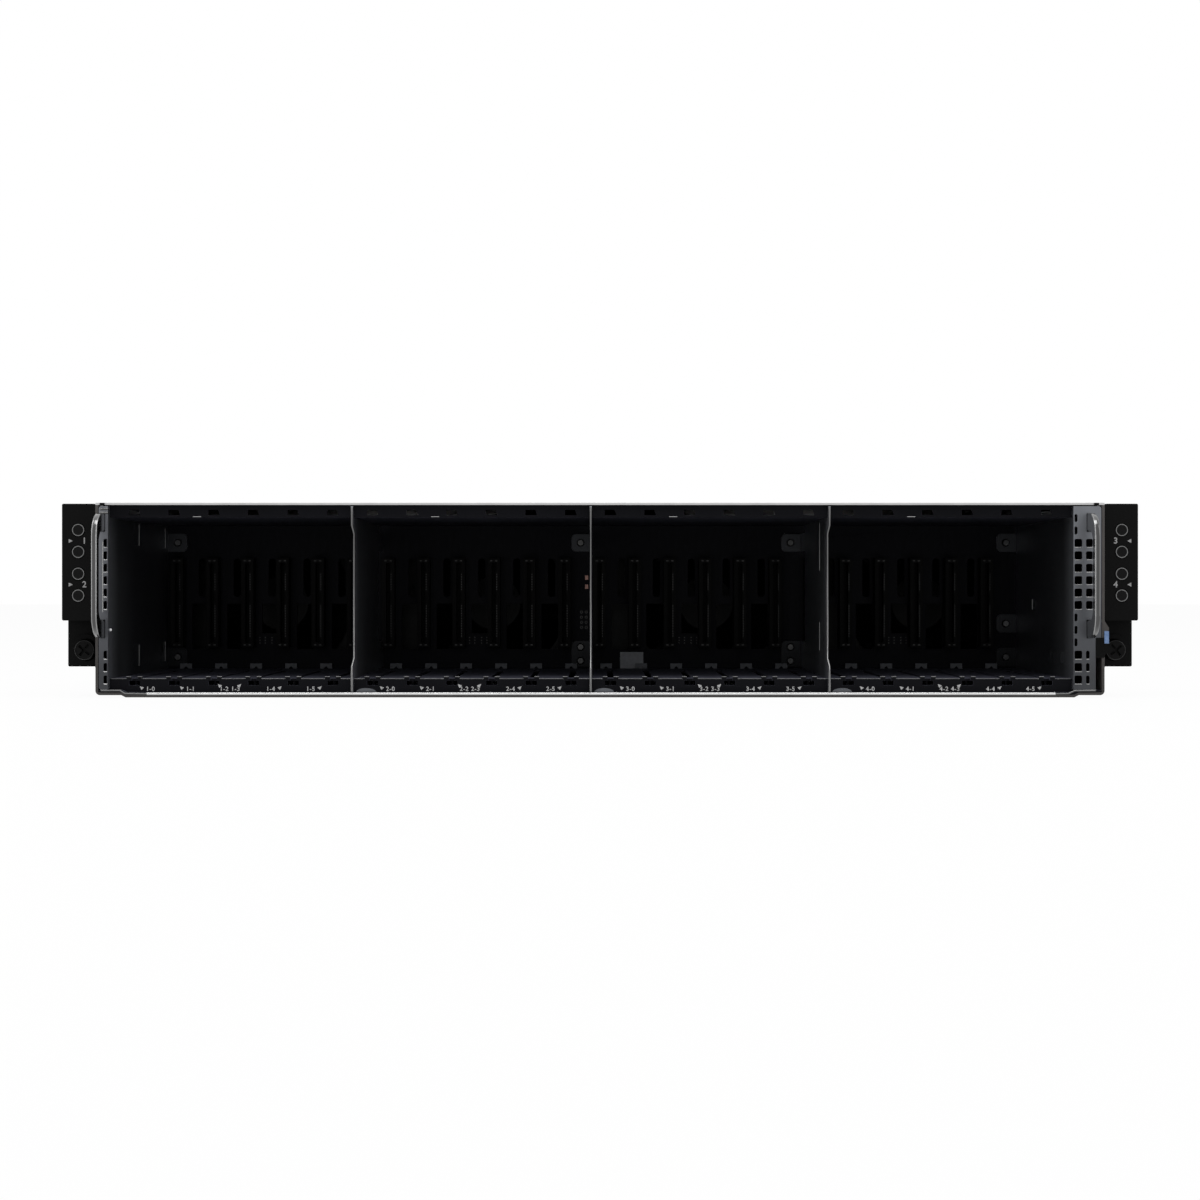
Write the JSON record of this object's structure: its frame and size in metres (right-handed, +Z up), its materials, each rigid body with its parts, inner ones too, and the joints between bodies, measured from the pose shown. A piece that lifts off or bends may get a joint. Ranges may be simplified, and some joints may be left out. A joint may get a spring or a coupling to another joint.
{
  "type": "multi-node server chassis",
  "caption": "Two-unit rack enclosure for several server nodes, with open front drive bays, control ears, cooling fans and slide-out power supplies.",
  "frame": {"origin": "below the middle of the whole object, on the surface it stands on", "axes": "+X to the right of the front, +Y to the rear, +Z up"},
  "size_m": [0.4826, 0.8092, 0.0868],
  "materials": {
    "plated_steel": "satin zinc plate",
    "bright_steel": "bright nickel plate",
    "black_plastic": "fine matte texture",
    "black_screw": "black oxide",
    "circuit_board": "black solder mask",
    "connector_plastic": "matte",
    "fan_plastic": "satin",
    "supply_case": "satin plate",
    "latch_plastic": "satin",
    "blue_plastic": "satin"
  },
  "bodies": {
    "chassis": {"base_pan": "plated_steel", "front_top_cover": "plated_steel", "cage_left_wall": "plated_steel", "cage_right_wall": "plated_steel", "cage_floor": "plated_steel", "cage_ceiling": "plated_steel", "divider_1": "plated_steel", "divider_2": "plated_steel", "divider_3": "plated_steel", "drive_backplane": "circuit_board", "drive_connectors": "connector_plastic", "panel_screws": "bright_steel", "left_handle": "bright_steel", "right_handle": "bright_steel", "left_ear": "black_plastic", "right_ear": "black_plastic", "left_control_panel": "black_plastic", "right_control_panel": "black_plastic", "left_control_board": "circuit_board", "right_control_board": "circuit_board", "fan_partition": "plated_steel", "fan_frame_1": "fan_plastic", "fan_frame_2": "fan_plastic", "fan_frame_3": "fan_plastic", "fan_frame_4": "fan_plastic", "left_midplane": "circuit_board", "right_midplane": "circuit_board", "sled_connectors": "connector_plastic", "power_board": "circuit_board", "left_channel_wall": "plated_steel", "right_channel_wall": "plated_steel", "psu_shelf": "plated_steel", "left_node_shelf": "plated_steel", "right_node_shelf": "plated_steel"},
    "button_1": {"button_1": "black_plastic"},
    "button_2": {"button_2": "black_plastic"},
    "button_3": {"button_3": "black_plastic"},
    "button_4": {"button_4": "black_plastic"},
    "button_5": {"button_5": "black_plastic"},
    "button_6": {"button_6": "black_plastic"},
    "button_7": {"button_7": "black_plastic"},
    "button_8": {"button_8": "black_plastic"},
    "left_thumbscrew": {"left_thumbscrew": "black_screw"},
    "right_thumbscrew": {"right_thumbscrew": "black_screw"},
    "fan_rotor_1": {"fan_rotor_1": "fan_plastic"},
    "fan_rotor_2": {"fan_rotor_2": "fan_plastic"},
    "fan_rotor_3": {"fan_rotor_3": "fan_plastic"},
    "fan_rotor_4": {"fan_rotor_4": "fan_plastic"},
    "rear_cover": {"rear_top_cover": "plated_steel"},
    "cover_lock": {"cover_lock": "blue_plastic"},
    "psu_1": {"psu_1_case": "supply_case", "psu_1_inlet": "connector_plastic", "psu_1_handle": "connector_plastic"},
    "psu_1_fan": {"psu_1_fan": "fan_plastic"},
    "psu_1_latch": {"psu_1_latch": "latch_plastic"},
    "psu_2": {"psu_2_case": "supply_case", "psu_2_inlet": "connector_plastic", "psu_2_handle": "connector_plastic"},
    "psu_2_fan": {"psu_2_fan": "fan_plastic"},
    "psu_2_latch": {"psu_2_latch": "latch_plastic"}
  },
  "joints": [
    {"name": "button_1_press", "type": "slide", "parent": "chassis", "child": "button_1", "axis": [0, 1, 0], "range_m": [0, 0.0008], "stiffness_N_per_m": 2000, "springref_m": -0.0004},
    {"name": "button_2_press", "type": "slide", "parent": "chassis", "child": "button_2", "axis": [0, 1, 0], "range_m": [0, 0.0008], "stiffness_N_per_m": 2000, "springref_m": -0.0004},
    {"name": "button_3_press", "type": "slide", "parent": "chassis", "child": "button_3", "axis": [0, 1, 0], "range_m": [0, 0.0008], "stiffness_N_per_m": 2000, "springref_m": -0.0004},
    {"name": "button_4_press", "type": "slide", "parent": "chassis", "child": "button_4", "axis": [0, 1, 0], "range_m": [0, 0.0008], "stiffness_N_per_m": 2000, "springref_m": -0.0004},
    {"name": "button_5_press", "type": "slide", "parent": "chassis", "child": "button_5", "axis": [0, 1, 0], "range_m": [0, 0.0008], "stiffness_N_per_m": 2000, "springref_m": -0.0004},
    {"name": "button_6_press", "type": "slide", "parent": "chassis", "child": "button_6", "axis": [0, 1, 0], "range_m": [0, 0.0008], "stiffness_N_per_m": 2000, "springref_m": -0.0004},
    {"name": "button_7_press", "type": "slide", "parent": "chassis", "child": "button_7", "axis": [0, 1, 0], "range_m": [0, 0.0008], "stiffness_N_per_m": 2000, "springref_m": -0.0004},
    {"name": "button_8_press", "type": "slide", "parent": "chassis", "child": "button_8", "axis": [0, 1, 0], "range_m": [0, 0.0008], "stiffness_N_per_m": 2000, "springref_m": -0.0004},
    {"name": "left_thumbscrew_turn", "type": "hinge", "parent": "chassis", "child": "left_thumbscrew", "pos_m": [-0.2326, -0.3606, 0.0208], "axis": [0, 1, 0], "continuous": true},
    {"name": "right_thumbscrew_turn", "type": "hinge", "parent": "chassis", "child": "right_thumbscrew", "pos_m": [0.2326, -0.3606, 0.0208], "axis": [0, 1, 0], "continuous": true},
    {"name": "fan_1_spin", "type": "hinge", "parent": "chassis", "child": "fan_rotor_1", "pos_m": [-0.16785, -0.2246, 0.0412], "axis": [0, 1, 0], "continuous": true},
    {"name": "fan_2_spin", "type": "hinge", "parent": "chassis", "child": "fan_rotor_2", "pos_m": [-0.05595, -0.2246, 0.0412], "axis": [0, 1, 0], "continuous": true},
    {"name": "fan_3_spin", "type": "hinge", "parent": "chassis", "child": "fan_rotor_3", "pos_m": [0.05595, -0.2246, 0.0412], "axis": [0, 1, 0], "continuous": true},
    {"name": "fan_4_spin", "type": "hinge", "parent": "chassis", "child": "fan_rotor_4", "pos_m": [0.16785, -0.2246, 0.0412], "axis": [0, 1, 0], "continuous": true},
    {"name": "rear_cover_slide", "type": "slide", "parent": "chassis", "child": "rear_cover", "axis": [0, 1, 0], "range_m": [0, 0.012]},
    {"name": "cover_lock_press", "type": "slide", "parent": "rear_cover", "child": "cover_lock", "axis": [0, 0, -1], "range_m": [0, 0.002], "stiffness_N_per_m": 900, "springref_m": -0.001},
    {"name": "psu_1_slide", "type": "slide", "parent": "chassis", "child": "psu_1", "axis": [0, 1, 0], "range_m": [0, 0.16]},
    {"name": "psu_1_fan_spin", "type": "hinge", "parent": "psu_1", "child": "psu_1_fan", "pos_m": [0.014, 0.3614, 0.0215], "axis": [0, 1, 0], "continuous": true},
    {"name": "psu_1_latch_press", "type": "hinge", "parent": "psu_1", "child": "psu_1_latch", "pos_m": [0.041, 0.3594, 0.0215], "axis": [0, 0, 1], "range_deg": [0, 6], "stiffness_Nm_per_rad": 0.2, "springref_deg": -2.86},
    {"name": "psu_2_slide", "type": "slide", "parent": "chassis", "child": "psu_2", "axis": [0, 1, 0], "range_m": [0, 0.16]},
    {"name": "psu_2_fan_spin", "type": "hinge", "parent": "psu_2", "child": "psu_2_fan", "pos_m": [0.014, 0.3614, 0.0634], "axis": [0, 1, 0], "continuous": true},
    {"name": "psu_2_latch_press", "type": "hinge", "parent": "psu_2", "child": "psu_2_latch", "pos_m": [0.041, 0.3594, 0.0634], "axis": [0, 0, 1], "range_deg": [0, 6], "stiffness_Nm_per_rad": 0.2, "springref_deg": -2.86}
  ]
}
